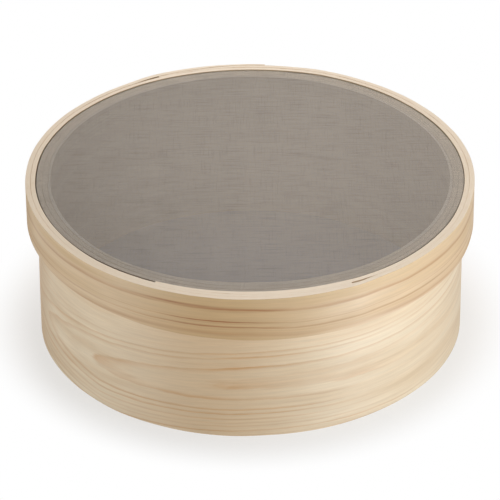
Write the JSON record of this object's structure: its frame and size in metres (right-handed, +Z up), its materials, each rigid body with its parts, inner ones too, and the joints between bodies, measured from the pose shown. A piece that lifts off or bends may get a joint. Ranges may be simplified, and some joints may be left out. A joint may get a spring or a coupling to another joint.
{
  "type": "tamis drum sieve",
  "caption": "Drum sieve with fine wire cloth stretched over a bent-wood drum and clamped flush by a lapped bent-wood hoop.",
  "frame": {"origin": "middle of the drum's bottom rim, on the surface that the sieve stands on", "axes": "+Z up along the drum's axis towards the wire cloth; -Y is the front, as pictured; +X to the right seen from the front"},
  "size_m": [0.24, 0.2432, 0.0892],
  "materials": {
    "drum_wood": "planed and sanded softwood, bare",
    "hoop_wood": "planed softwood with strong straight grain, bare",
    "steel_cloth": "fine plain-woven stainless wire, dull grey"
  },
  "bodies": {
    "root": {"drum_outer_strip": "drum_wood", "drum_inner_strip": "drum_wood", "mesh_support_ring": "drum_wood", "wire_cloth": "steel_cloth", "hoop_inner_strip": "hoop_wood", "hoop_outer_strip": "hoop_wood"}
  },
  "joints": []
}
